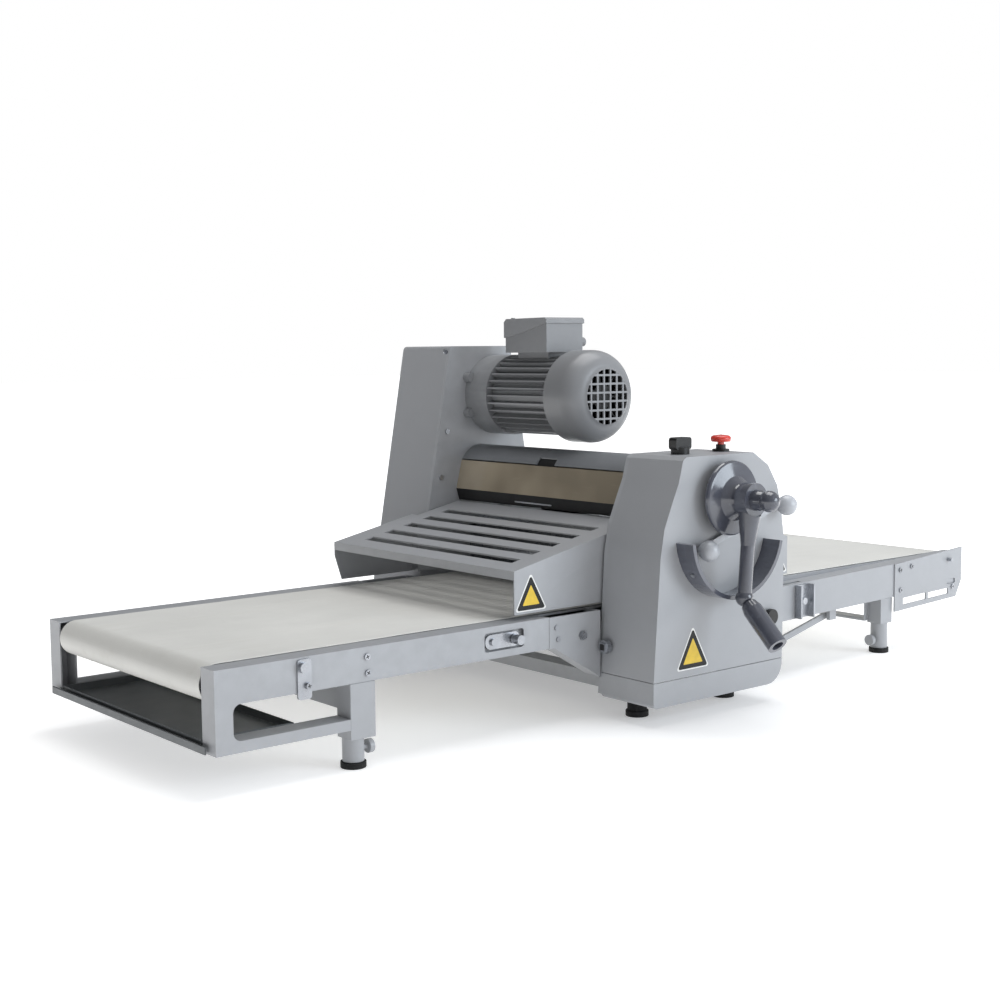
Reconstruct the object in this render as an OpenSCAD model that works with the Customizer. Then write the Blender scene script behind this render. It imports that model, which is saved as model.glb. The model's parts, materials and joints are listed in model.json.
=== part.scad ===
// Bench-top dough sheeter: two belt tables, a pair of sheeting rollers with an adjustable gap,
// a low lever housing, a tall drive housing with the motor, and two slotted guards.
// Axes: X along the belts, Y from the lever side to the drive side, Z up from the bench.
// Millimetres. Inside the modules Y is counted from the belts' centre line; place() shifts it.

/* [Tables] */
// height of the belts' upper face
belt_top = 187.8; // [170:0.1:200]
// belt width
belt_w = 475; // [300:5:600]
// belt thickness
belt_t = 1.5; // [1:0.1:3]
// distance between the rails' outer faces
rail_outer_w = 560; // [400:10:700]
// rail width across
rail_w = 38; // [25:1:60]
// height of the left rail's upper member
left_rail_h = 53; // [40:1:80]
// height of the right rail
right_rail_h = 68; // [50:1:90]
// from the machine's centre to a table's end
table_reach = 908; // [600:1:1200]
// where the left rails meet their brackets
rail_start = 282; // [220:1:320]
// pivot of the folding right table
pivot_x = 271; // [240:1:300]
// pivot height
pivot_z = 159; // [140:1:170]

/* [Rollers] */
// sheeting roller radius
roller_r = 36; // [25:1:45]
// height of the lower roller's axis
lower_z = 152; // [140:1:160]
// gap between the rollers as shown
roller_gap = 15; // [0:1:30]
// half of the gap's travel
gap_travel = 14.5; // [5:0.5:15]
// roller journal radius
journal_r = 12.5; // [8:0.5:18]
// radius of the table end rollers
end_roller_r = 27; // [15:1:35]
// radius of the left belt's drive roller
drive_roller_r = 22; // [15:1:30]

/* [Housings] */
// half length of the base
base_half = 163; // [120:1:200]
// inner face of the lever-side plate
near_in = 272; // [250:1:300]
// inner face of the drive-side plate
far_in = 250; // [240:1:300]
// outer face of both housings
house_out = 406; // [350:1:450]
// thickness of the side plates
plate_t = 8; // [5:1:12]
// top of the low housing
near_top = 450; // [400:1:500]
// top of the tall housing
column_top = 639; // [560:1:700]
// height of the seam above the base pan
seam_z = 77; // [60:1:100]

/* [Guards] */
// guard's front edge from the centre
guard_front = 345; // [280:1:400]
// guard's rear edge from the centre
guard_rear = 58; // [45:1:80]
// height at the front edge
guard_front_z = 269; // [240:1:300]
// slope of the slotted top
guard_slope = 12; // [5:1:20]
// number of slots
slot_count = 5; // [3:1:9]
// slot width
slot_w = 20; // [10:1:26]

/* [Motor] */
// motor axis along X
motor_x = 45; // [0:1:80]
// motor axis height
motor_z = 541; // [480:1:600]
// radius over the fins
motor_r = 77; // [60:1:95]
// fan cover radius
fan_cover_r = 88; // [70:1:105]

/* [Lever] */
// thickness lever axis along X
hub_x = 4; // [-20:1:20]
// thickness lever axis height
hub_z = 377; // [350:1:400]
// dial radius
dial_r = 64; // [50:1:80]
// lean of the lever as shown
lever_lean = 5; // [-20:1:20]
// length of the straight arm
arm_len = 165; // [120:1:200]
// length of the bent grip
grip_len = 105; // [80:1:130]
// teeth of the lift pinions
pinion_teeth = 14; // [12:1:20]
// gear module
gear_m = 2; // [1:0.5:3]

/* [Hidden] */

$fn = 48;
// puts the middle of the overall width on the row's origin
belt_y = 72;
fit = 0.06;
gap = 0.3;
rail_out = rail_outer_w / 2;
rail_in = rail_out - rail_w;
sheet = 2.5;
upper_z = lower_z + 2 * roller_r + roller_gap;
roller_half = 238;
end_x = table_reach - end_roller_r;
drive_x = 66;
drive_z = belt_top - belt_t - gap - drive_roller_r;
pitch_r = gear_m * pinion_teeth / 2;
near_out = near_in + plate_t;
far_out = far_in + plate_t;
block_half = 25;
foot_r = 17;
left_foot_x = 662;
right_foot_x = 651;
brace_foot = [318, 47];
brace_pin = [506, 92];
foot_y = 258;

// paint and material colours
c_paint = [0.66, 0.69, 0.73];
c_motor = [0.52, 0.54, 0.57];
c_belt = [0.86, 0.86, 0.83];
c_dark = [0.30, 0.31, 0.34];
c_black = [0.06, 0.06, 0.07];
c_steel = [0.74, 0.75, 0.77];

module place() translate([0, belt_y, 0]) children();

// cylinder along Y from y0 to y1
module rod_y(x, z, y0, y1, r) translate([x, y0, z]) rotate([-90, 0, 0]) cylinder(h = y1 - y0, r = r);

// cylinder along X from x0 to x1
module rod_x(x0, x1, y, z, r) translate([x0, y, z]) rotate([0, 90, 0]) cylinder(h = x1 - x0, r = r);

// cylinder along Z from z0 to z1
module rod_z(x, y, z0, z1, r) translate([x, y, z0]) cylinder(h = z1 - z0, r = r);

// box between two corners
module box(a, b) translate(a) cube(b - a);

// XZ outline made solid from y0 to y1
module slab_y(y0, y1) translate([0, y1, 0]) rotate([90, 0, 0]) linear_extrude(height = y1 - y0) children();

// the child and its mirror image across the belts' centre line
module both_sides() {
    children();
    mirror([0, 1, 0]) children();
}

// the child and its mirror image end for end
module both_ends() {
    children();
    mirror([1, 0, 0]) children();
}

function arc(c, r, a0, a1, n) = [for (i = [0:n]) let (a = a0 + (a1 - a0) * i / n) c + r * [cos(a), sin(a)]];

// rounds every corner of an outline by r
function unit(v) = v / norm(v);
function turn(a) = a > 180 ? a - 360 : (a < -180 ? a + 360 : a);
function rounded(pts, r, n = 4) = [
    for (i = [0:len(pts) - 1])
        let (
            p = pts[i],
            u = unit(pts[(i + len(pts) - 1) % len(pts)] - p),
            v = unit(pts[(i + 1) % len(pts)] - p),
            half = acos(u * v) / 2,
            c = p + unit(u + v) * r / sin(half),
            s = p + u * r / tan(half) - c,
            e = p + v * r / tan(half) - c,
            a0 = atan2(s[1], s[0]),
            da = turn(atan2(e[1], e[0]) - a0)
        )
        for (k = [0:n]) c + r * [cos(a0 + da * k / n), sin(a0 + da * k / n)]
];

// outline of a taut loop round two circles
function loop(c0, r0, c1, r1, n = 18) =
    let (
        d = c1 - c0,
        th = atan2(d[1], d[0]),
        ph = acos((r0 - r1) / norm(d))
    )
    concat(arc(c0, r0, th + ph, th + 360 - ph, n), arc(c1, r1, th - ph, th + ph, n));

// a flexible loop of thickness t from y0 to y1
module loop_y(c0, r0, c1, r1, t, y0, y1) slab_y(y0, y1) difference() {
    polygon(loop(c0, r0 + t, c1, r1 + t));
    polygon(loop(c0, r0, c1, r1));
}

// straight-flanked gear teeth, fill is the tooth's share of the pitch
function gear(n, m, fill = 0.42, tip = 0.8, root = 1.15) = [
    for (i = [0:n - 1])
        let (
            r = m * n / 2,
            half = 360 / n * fill / 2,
            slant = m * tan(20) / r * 180 / PI,
            ht = half - slant * tip * 0.9,
            hr = half + slant * root * 0.6,
            a = 360 / n * i
        )
        each [
            (r - root * m) * [cos(a - hr), sin(a - hr)],
            (r + tip * m) * [cos(a - ht), sin(a - ht)],
            (r + tip * m) * [cos(a + ht), sin(a + ht)],
            (r - root * m) * [cos(a + hr), sin(a + hr)]
        ]
];

// outline of the low housing seen from the lever side
function near_outline(z0) = [
    [-base_half, z0], [-base_half + 16, 284], [-138, 333], [-118, 378], [-104, 408], [-94, near_top - 6],
    [-86, near_top], [82, near_top], [121, 426], [146, 389], [158, 344], [166, 289], [base_half, z0]
];

// outline of the tall housing
function column_outline(z0) = [
    [-base_half, z0], [-base_half, 134], [-129, 323], [-72, column_top], [84, column_top], [121, 434],
    [139, 323], [base_half, 134], [base_half, z0]
];

// sheet shell between y0 and y1, open towards the plate
module shell(outline, y_open, y_closed, mid_z) {
    y0 = min(y_open, y_closed);
    y1 = max(y_open, y_closed);
    closed_low = y_closed < y_open;
    difference() {
        slab_y(y0, y1) polygon(outline);
        slab_y(closed_low ? y0 + sheet : y0 - 1, closed_low ? y1 + 1 : y1 - sheet)
            translate([0, mid_z]) scale(0.975) translate([0, -mid_z]) polygon(outline);
    }
}

module near_side_plate() color(c_paint) place() difference() {
    slab_y(-near_out, -near_in) polygon(near_outline(40));
    plate_holes(-near_out - 1, -near_in + 1);
    rod_y(hub_x, hub_z, -near_out - 1, -near_in + 1, 8 + fit);
}

module far_side_plate() color(c_paint) place() difference() {
    slab_y(far_in, far_out) polygon(rounded(column_outline(40), 6));
    plate_holes(far_in - 1, far_out + 1);
    rod_y(hub_x, hub_z, far_in - 1, far_out + 1, 8 + fit);
    rod_y(motor_x, motor_z, far_in - 1, far_out + 1, 40);
    rod_y(counter[0], counter[1], far_in - 1, far_out + 1, 10 + fit);
}

// bearings, guide slot and guard pivots shared by both plates
module plate_holes(y0, y1) {
    slot_reach = block_half + gap_travel + 0.7;
    rod_y(0, lower_z, y0, y1, journal_r + fit);
    for (s = [-1, 1]) rod_y(s * 75, 305, y0, y1, 4 + fit);
    rod_y(-drive_x, drive_z, y0, y1, 7 + fit);
    box([-block_half - gap, y0, upper_z - slot_reach], [block_half + gap, y1, upper_z + slot_reach]);
}

module base_members() color(c_paint) place() {
    for (s = [-1, 1]) box([s * 120 - 20, -near_in, 44], [s * 120 + 20, far_in, 68]);
    // arms that carry the brace's rod on a ledge, against a stop
    arm_y = 244;
    for (s = [-1, 1]) slab_y(s * arm_y - 4, s * arm_y + 4) polygon([
        [120, 30], [brace_foot[0] + 12, 30], [brace_foot[0] + 12, brace_foot[1] - 5.3],
        [brace_foot[0] - 5.6, brace_foot[1] - 5.3], [brace_foot[0] - 5.6, brace_foot[1] + 3], [brace_foot[0] - 20, brace_foot[1] + 9], [120, 56]
    ]);
}

module gusset_brackets() color(c_paint) place() {
    outline = [[-rail_start + 1, 186], [-base_half - 1, 186], [-base_half - 1, 69], [-270, 133], [-rail_start + 1, 133]];
    // left: plates flush with the rails
    both_sides() {
        slab_y(-rail_out, -rail_out + 5) polygon(outline);
        box([-base_half - 6, -rail_out, 69], [-base_half - 1, -rail_in - 2, 186]);
        slab_y(-rail_out, -rail_in - 2) polygon([
            [-base_half - 1, 69], [-270, 133], [-rail_start + 1, 133], [-rail_start + 1, 137], [-269, 137], [-base_half - 1, 73]
        ]);
    }
    // right: arms inside the rails, with the pivot pins
    both_sides() {
        slab_y(-near_in, -near_in + 8) polygon([
            [base_half + 2, 82], [base_half + 2, 169], [pivot_x, pivot_z + 10],
            [pivot_x, pivot_z - 10], [pivot_x - 12, pivot_z - 14]
        ]);
        rod_y(pivot_x, pivot_z, -near_in, -near_in + 8, 10);
        box([base_half + 2, -rail_out, 82], [base_half + 7, -260, 169]);
        rod_y(pivot_x, pivot_z, -rail_out - 0.4, -near_in, 8);
        rod_y(pivot_x, pivot_z, -rail_out - 4.5, -rail_out - 0.4, 10.5);
    }
}

module near_cover() color(c_paint) place() {
    // cover above the seam
    difference() {
        shell(near_outline(seam_z + 1), -near_out, -house_out, 260);
        rod_y(hub_x, hub_z, -house_out - 1, -house_out + 4, 9);
        rod_y(44, 323, -house_out - 1, -house_out + 4, 8.5);
        rod_y(124, 157, -house_out - 1, -house_out + 4, 11.5);
        rod_z(66, -345, near_top - 16, near_top + 1, 9);
        rod_z(-37, -345, near_top - 16, near_top + 1, 7.5);
        rod_x(-170, -140, -296, 125, 8.5);
    }
    // base pan below the seam
    pan = concat(
        arc([-base_half + 8, 42], 8, 180, 270, 4), arc([base_half - 38, 72], 38, 270, 350, 6),
        [[base_half, seam_z], [-base_half, seam_z]]
    );
    difference() {
        slab_y(-house_out, -near_out) polygon(pan);
        slab_y(-house_out + sheet, -near_out + 1) translate([0, seam_z + 1]) scale(0.96) translate([0, -seam_z]) polygon(pan);
        for (s = [-1, 1]) rod_z(s * 110, -314, 30, 50, 6);
    }
}

module far_cover() color(c_paint) place() difference() {
    shell(rounded(column_outline(34), 9), far_out, house_out, 320);
    for (s = [-1, 1]) rod_z(s * 110, 330, 30, 50, 6);
}

module housing_feet() color(c_black) place()
    for (x = [-110, 110], y = [-314, 330]) {
        rod_z(x, y, 0, 10, 20);
        rod_z(x, y, 10, 34, 17);
        rod_z(x, y, 34, 46, 5.9);
    }

// curved cover over the upper roller and the lift shaft
module roller_hood() color(c_paint) place() {
    hood_r = 56;
    c = [hub_x, 385];
    difference() {
        slab_y(-near_in, far_in) polygon(concat(arc(c, hood_r, 149, 31, 16), arc(c, hood_r - sheet, 31, 149, 16)));
        // small window in the lower edge of the cover
        box([-60, -28, 408], [-33, 22, 426]);
    }
}

// bronze tinted strips that close the sides below the hood
module roller_shields() color([0.46, 0.40, 0.31]) place() both_ends()
    slab_y(-near_in, far_in) polygon([[-60, 355], [-57.5, 354], [-43.2, 410], [-45.7, 411]]);

module shield_seals() color(c_black) place() both_ends()
    slab_y(-near_in, far_in) polygon([[-60, 354.7], [-57.5, 353.6], [-50, 333], [-53, 332]]);

module slide_plate() color(c_belt) place() {
    right_edge = pivot_x - end_roller_r - belt_t - gap - 2;
    slab_y(-237, 237) polygon([[right_edge, belt_top - 0.5], [21, belt_top - 0.5], [18, belt_top - 3], [right_edge, belt_top - 3]]);
    both_sides() box([170, -264, 150], [right_edge - 8, -261, belt_top - 0.5]);
    both_sides() box([170, -264, belt_top - 3], [right_edge - 8, -236, belt_top - 0.5]);
}

module lower_scrapers() color(c_steel) place() both_ends() {
    slab_y(-236, 236) polygon([[-26.6, 125.6], [-58, 100], [-58, 97.5], [-25.6, 124]]);
    box([-70, -near_in, 84], [-50, far_in, 97.5]);
}

module motor_body() color(c_motor) place() {
    fin_end = -10;
    fin_start = 184;
    bore_r = 34;
    difference() {
        union() {
            rod_y(motor_x, motor_z, fin_start, far_in, 80);
            rod_y(motor_x, motor_z, fin_end, fin_start, motor_r - 13);
            // fins all round
            for (i = [0:31]) translate([motor_x, 0, motor_z]) rotate([0, i * 11.25, 0])
                box([motor_r - 15, fin_end + 4, -1.6], [motor_r, fin_start, 1.6]);
            // seat of the terminal box
            box([motor_x - 24, 60, motor_z + 50], [motor_x + 24, 150, motor_z + 84]);
            // lugs with studs at the flange
            for (a = [25, 155, 205, 335]) rod_y(motor_x + 84 * cos(a), motor_z + 84 * sin(a), far_in - 16, far_in, 9);
        }
        rod_y(motor_x, motor_z, fin_end - 1, far_in + 1, bore_r);
    }
    // end shields with the shaft bearings
    for (y = [[fin_end, fin_end + 12], [far_in - 14, far_in]]) difference() {
        rod_y(motor_x, motor_z, y[0], y[1], bore_r);
        rod_y(motor_x, motor_z, y[0] - 1, y[1] + 1, 10 + fit);
    }
}

module fan_cover() color(c_motor) place() {
    rear = -10;
    shoulder = -38;
    end = -80;
    difference() {
        translate([motor_x, 0, motor_z]) rotate([90, 0, 0]) rotate_extrude() difference() {
            polygon(concat([[0, -rear - 14], [fan_cover_r, -rear - 14], [fan_cover_r, -shoulder]],
                arc([fan_cover_r - 40, -shoulder], 40, 0, 78, 8), [[52, -end], [0, -end]]));
            polygon(concat([[-1, -rear - 15], [fan_cover_r - 2.5, -rear - 15], [fan_cover_r - 2.5, -shoulder]],
                arc([fan_cover_r - 40, -shoulder], 37.5, 0, 78, 8), [[50, -end - 3], [-1, -end - 3]]));
        }
        // square air grid in the end
        intersection() {
            rod_y(motor_x, motor_z, end - 2, end + 6, 52);
            for (i = [-3:3], k = [-3:3]) translate([motor_x + i * 16.4, end, motor_z + k * 16.4])
                cube([12.6, 16, 12.6], center = true);
        }
    }
}

module terminal_box() color(c_motor) place() {
    x0 = motor_x - 46;
    x1 = motor_x + 48;
    base = motor_z + 84;
    translate([0, 36, 0]) {
        // body and lid meet on a line that drops towards the drive housing
        translate([x0, 0, 0]) rotate([90, 0, 90]) linear_extrude(height = x1 - x0)
            polygon([[4, base], [126, base], [126, base + 30], [70, base + 40], [4, base + 56]]);
        translate([x0 - 2.5, 0, 0]) rotate([90, 0, 90]) linear_extrude(height = x1 - x0 + 5)
            polygon([[1.5, base + 56], [69.5, base + 39.5], [128.5, base + 29], [128.5, base + 60], [122, base + 66], [6, base + 67], [1.5, base + 63]]);
        for (x = [x0 + 8, x1 - 8]) rod_z(x, 112, base + 60, base + 68, 4);
        // cable gland
        translate([0, 0, base + 20]) rotate([0, 90, 0]) translate([0, 22, x1]) cylinder(h = 6, r = 13, $fn = 6);
        rod_x(x1 + 6, x1 + 18, 22, base + 20, 9);
    }
}

motor_pulley_r = 20;
counter = [52, 330];
counter_pulley_r = 60;
small_sprocket_r = 16;
big_sprocket_r = 26;
chain_t = 5;

module motor_belt() color(c_black) place()
    loop_y([motor_x, motor_z], motor_pulley_r + 0.4, counter, counter_pulley_r + 0.4, 5, 346, 362);

// the chain runs round the counter and lower sprockets and bends back over the upper one
function cross_turn(a, ra, b, rb) = acos((ra + rb) / norm(b - a));
function heading(a, b) = atan2(b[1] - a[1], b[0] - a[0]);
function chain_route(o) =
    let (
        upper = [0, upper_z],
        lower = [0, lower_z],
        rc = small_sprocket_r + 0.4 + o,
        ru = big_sprocket_r + 0.4 + chain_t - o,
        rl = big_sprocket_r + 0.4 + o,
        a1 = heading(counter, upper) - cross_turn(counter, rc, upper, ru),
        a2 = heading(upper, lower) + cross_turn(upper, ru, lower, rl),
        d = heading(counter, lower),
        e = acos((rc - rl) / norm(lower - counter))
    )
    concat(
        arc(counter, rc, d + e, a1 + 360, 14),
        arc(upper, ru, a1 + 180, a2, 10),
        arc(lower, rl, a2 + 180, d + e + 360, 16)
    );

module roller_chain() color(c_steel) place() slab_y(318, 325) difference() {
    polygon(chain_route(chain_t));
    polygon(chain_route(0));
}

conveyor_y = [-249, -244];

module conveyor_chains() color(c_steel) place() {
    loop_y([0, lower_z], 20.4, [-drive_x, drive_z], 14.4, 4, conveyor_y[0], conveyor_y[1]);
    loop_y([0, lower_z], 20.4, [pivot_x, pivot_z], 14.4, 4, conveyor_y[0] - 7, conveyor_y[1] - 7);
}

// dark curved band below the dial
module scale_band() color(c_dark) place() {
    c = [hub_x, 320];
    slab_y(-house_out - 38, -house_out) polygon(concat(arc(c, 115, 186, 348, 28), arc(c, 108, 348, 186, 28)));
}

module housing_screws() color(c_steel) place() {
    // inner face of the tall housing
    for (p = [[-84, 628], [-82, 470], [-98, 378]]) rod_y(p[0], p[1], far_in - 2.5, far_in, 5);
    // screws of the dark band
    for (a = [215, 325]) translate([hub_x, -house_out - 20, 320]) rotate([0, -a, 0]) rod_x(115, 117, 0, 0, 4);
    // adjusting nuts and flange bolts of the left brackets
    both_sides() {
        for (p = [[-266, 168], [-262, 148]]) rod_y(p[0], p[1], -rail_out - 2.5, -rail_out, 4.2);
        translate([-207, -rail_out, 148]) rotate([90, 0, 0]) cylinder(h = 6, r = 8, $fn = 6);
    }
}

module estop_base() color(c_black) place() difference() {
    union() {
        rod_z(66, -345, near_top - 14, near_top + 12, 8.8);
        rod_z(66, -345, near_top, near_top + 4, 15);
    }
    // bore for the head's stem
    rod_z(66, -345, near_top + 5, near_top + 13, 6 + gap);
}

module cover_lock() color(c_steel) place() {
    rod_x(-base_half - 10, -base_half - 0.5, -296, 125, 12);
    rod_x(-base_half - 0.5, -135, -296, 125, 8);
    box([-base_half - 13, -303, 118], [-base_half - 10, -289, 132]);
}

module estop_head() color([0.72, 0.12, 0.08]) place() {
    z0 = near_top + 17;
    translate([66, -345, 0]) rotate_extrude()
        polygon(concat([[0, z0], [17, z0]], arc([12, z0 + 5], 6, 0, 80, 5), [[0, z0 + 12.5]]));
    rod_z(66, -345, near_top + 10, z0, 6);
}

module selector_switch() color(c_black) place() {
    rod_z(-37, -345, near_top - 15, near_top + 0.4, 7);
    rod_z(-37, -345, near_top + 0.4, near_top + 12, 16);
    slab_y(-354, -336) polygon(rounded([[-56, near_top + 8], [-18, near_top + 8], [-18, near_top + 29], [-56, near_top + 29]], 5));
}

module start_button() color(c_black) place() {
    rod_y(124, 157, -house_out - 12, -house_out - 3, 14);
    rod_y(124, 157, -house_out - 3, -house_out + 12, 10.8);
}

// parts that turn with the thickness lever are drawn hanging straight down, then leaned
module lever_turn() translate([hub_x, 0, hub_z]) rotate([0, lever_lean, 0]) translate([-hub_x, 0, -hub_z]) children();

module lever_dial() color(c_dark) place() {
    translate([hub_x, 0, hub_z]) rotate([90, 0, 0]) rotate_extrude() polygon(concat(
        [[8.02, house_out + 2], [20, house_out + 2], [20, house_out + 14], [dial_r - 6, house_out + 14]],
        arc([dial_r - 6, house_out + 20], 6, -90, 90, 6),
        [[38, house_out + 30], [26, house_out + 42], [19, house_out + 62], [17, house_out + 84]],
        arc([0, house_out + 102], 18, -30, 80, 8), [[0, house_out + 120], [0, house_out + 96], [8.02, house_out + 96]]
    ));
}

module lever_arm() color(c_dark) place() lever_turn() {
    neck_y = -house_out - 62;
    drop = hub_z - arm_len;
    difference() {
        union() {
            translate([hub_x, neck_y, hub_z - 17]) rotate([180, 0, 0]) cylinder(h = 60, r1 = 20, r2 = 12);
            rod_z(hub_x, neck_y, drop, hub_z - 60, 12);
            translate([hub_x, neck_y, drop]) sphere(r = 15);
        }
        rod_y(hub_x, hub_z, neck_y - 40, neck_y + 40, 28);
    }
    // saddle that clamps the arm on the hub
    difference() {
        rod_y(hub_x, hub_z, neck_y - 12, neck_y + 12, 28.5);
        translate([hub_x, 0, hub_z]) rotate([90, 0, 0]) rotate_extrude() polygon([
            [0, house_out + 49], [23.6, house_out + 49], [19.05, house_out + 62], [17.87, house_out + 75], [0, house_out + 75]
        ]);
    }
}

module lever_grip() color(c_dark) place() lever_turn()
    translate([hub_x, -house_out - 62, hub_z - arm_len]) rotate([132, 0, 0]) difference() {
        union() {
            translate([0, 0, 15.2]) cylinder(h = 12, r1 = 14, r2 = 17);
            translate([0, 0, 27.2]) cylinder(h = grip_len - 27.2, r = 17);
        }
        translate([0, 0, grip_len - 30]) cylinder(h = 31, r = 10);
    }

module adjust_shaft() color(c_steel) place() {
    rod_y(hub_x, hub_z, -house_out - 95, far_out + 18, 8);
    // lift pinions, one at each end
    for (y = [[-near_out - 18, -near_out - 8], [far_out + 8, far_out + 18]])
        translate([hub_x, 0, hub_z]) slab_y(y[0], y[1]) polygon(gear(pinion_teeth, gear_m));
}

module direction_rocker() color([0.74, 0.75, 0.77]) place() {
    c = [44, 323];
    rod_y(c[0], c[1], -house_out - 7, -house_out + 14, 8);
    for (p = [[-56, 292], [144, 355]]) {
        translate([p[0], -430, p[1]]) sphere(r = 18);
        slab_y(-house_out - 7, -house_out - 2.5) polygon([c + [0, 7], c - [0, 7], p - [0, 5], p + [0, 5]]);
        rod_y(p[0], p[1], -430, -house_out - 2.5, 6);
    }
}

module bearing_blocks() color(c_steel) place()
    for (y = [[-near_out - 4, -near_in + 8], [far_in - 8, far_out + 4]]) difference() {
        box([-block_half, y[0], upper_z - block_half], [block_half, y[1], upper_z + block_half]);
        rod_y(0, upper_z, y[0] - 1, y[1] + 1, journal_r + fit);
    }

module lift_racks() color(c_steel) place() {
    reach = 34;
    back = hub_x + pitch_r + 11;
    step = PI * gear_m;
    rest = hub_z - step * 6;
    for (y = [[-near_out - 18, -near_out - 8], [far_out + 8, far_out + 18]]) difference() {
        slab_y(y[0], y[1]) {
            translate([hub_x + pitch_r + gear_m * 1.15, upper_z - 10]) square([back - hub_x - pitch_r - gear_m * 1.15, hub_z + reach - upper_z + 10]);
            for (i = [0:11]) translate([hub_x + pitch_r, rest + step * (i + 0.5)]) polygon([
                [-0.8 * gear_m, -0.42 * step / 2 + 0.45], [gear_m * 1.2, -0.42 * step / 2 - 0.5],
                [gear_m * 1.2, 0.42 * step / 2 + 0.5], [-0.8 * gear_m, 0.42 * step / 2 - 0.45]
            ]);
        }
        rod_y(0, upper_z, y[0] - 1, y[1] + 1, 18);
    }
    // lugs that bolt each rack to its block
    for (y = [[-near_out - 8, -near_out - 4], [far_out + 4, far_out + 8]])
        box([21, y[0], upper_z - 10], [back, y[1], upper_z + block_half]);
}

// cross beam on top of the blocks with both upper scraper blades
module scraper_beam() color(c_steel) place() {
    foot = upper_z + block_half;
    box([-14, -near_in + 1, foot + 21], [14, far_in - 1, foot + 31]);
    box([-14, -near_in + 1, foot], [14, -near_in + 8, foot + 21]);
    box([-14, far_in - 8, foot], [14, far_in - 1, foot + 21]);
    both_ends() slab_y(-232, 232) polygon([
        [-13, foot + 22], [-13, foot + 30], [-17, foot + 30],
        [-35.5, upper_z + 17.5], [-34.3, upper_z + 15], [-33, upper_z + 17.6]
    ]);
}

module upper_roller() color(c_steel) place() {
    rod_y(0, upper_z, -roller_half, roller_half, roller_r);
    rod_y(0, upper_z, -near_out - 6, 328, journal_r);
    slab_y(316, 327) translate([0, upper_z]) circle(r = big_sprocket_r);
}

module lower_roller() color(c_steel) place() {
    rod_y(0, lower_z, -roller_half, roller_half, roller_r);
    rod_y(0, lower_z, -near_out - 6, 328, journal_r);
    slab_y(316, 327) translate([0, lower_z]) circle(r = big_sprocket_r);
    // sprockets of both conveyor chains
    rod_y(0, lower_z, conveyor_y[0] - 7.5, conveyor_y[1] + 0.5, 20);
}

module counter_shaft() color(c_steel) place() {
    rod_y(counter[0], counter[1], far_in + 0.5, 366, 10);
    rod_y(counter[0], counter[1], 316, 327, small_sprocket_r);
    rod_y(counter[0], counter[1], 345, 363, counter_pulley_r);
}

module motor_rotor() color(c_steel) place() {
    rod_y(motor_x, motor_z, -47, 366, 10);
    rod_y(motor_x, motor_z, 20, 210, 32);
    rod_y(motor_x, motor_z, 345, 363, motor_pulley_r);
}

module motor_fan() color(c_dark) place() translate([motor_x, 0, motor_z]) {
    difference() {
        slab_y(-66, -36) union() {
            circle(r = 24);
            for (i = [0:6]) rotate(i * 360 / 7) translate([18, -1.5]) square([52, 3]);
        }
        rod_y(0, 0, -48, -30, 10.01);
    }
    slab_y(-38, -35) difference() {
        circle(r = 70);
        circle(r = 10.01);
    }
}

// slotted guard over the left table
module guard() {
    side_y = 266;
    top_y = -near_in + 2;
    step_x = 160;
    slope = tan(guard_slope);
    rear_z = guard_front_z + slope * (guard_front - guard_rear);
    t = 2.5;
    step_z = guard_front_z + slope * (guard_front - step_x);
    pitch = 45.5;
    first = 303;
    difference() {
        union() {
            // sloping top with a folded front lip
            slab_y(-side_y, far_in - 3) polygon([
                [-guard_front, guard_front_z], [-guard_rear, rear_z], [-guard_rear, rear_z - t],
                [-guard_front + t, guard_front_z - t - 0.4], [-guard_front + t, guard_front_z - 15], [-guard_front, guard_front_z - 15]
            ]);
            slab_y(far_in - 3, side_y) polygon([
                [-guard_front, guard_front_z], [-step_x, step_z], [-step_x, step_z - t],
                [-guard_front + t, guard_front_z - t - 0.4], [-guard_front + t, guard_front_z - 15], [-guard_front, guard_front_z - 15]
            ]);
            // lever side panel
            slab_y(-side_y, -side_y + t) polygon([
                [-guard_front, 196], [-guard_front, guard_front_z], [-guard_rear, rear_z], [-guard_rear, 290], [-110, 196]
            ]);
            // drive side panel, stepped in beside the tall housing
            slab_y(side_y - t, side_y) polygon([
                [-guard_front, 243], [-guard_front, guard_front_z], [-step_x, step_z], [-step_x, 196], [-330, 196]
            ]);
            box([-step_x - t, far_in - 5.5, 196], [-step_x, side_y, step_z - 1]);
            slab_y(far_in - 5.5, far_in - 3) polygon([
                [-step_x, 196], [-step_x, step_z], [-guard_rear, rear_z], [-guard_rear, 290], [-110, 196]
            ]);
        }
        for (i = [0:slot_count - 1]) box([-first + i * pitch - slot_w / 2, -222, 250], [-first + i * pitch + slot_w / 2, 210, 345]);
    }
    // pivot pins
    rod_y(-75, 305, -near_out + 1, -side_y + t, 4);
    rod_y(-75, 305, far_in - 5.5, far_out - 1, 4);
}

module left_guard() color(c_paint) place() guard();

module right_guard() color(c_paint) place() mirror([1, 0, 0]) guard();

left_top = 187;
left_low = 63;
left_post = 29;

// upper member and end post of a left rail, shrunk by w
module left_rail(y0, y1, w) slab_y(y0, y1) {
    translate([-table_reach + w, left_top - left_rail_h + w])
        square([table_reach - rail_start - 2 * w, left_rail_h - 2 * w]);
    translate([-table_reach + w, left_low + w]) square([left_post - 2 * w, left_top - left_low - 2 * w]);
}

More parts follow.
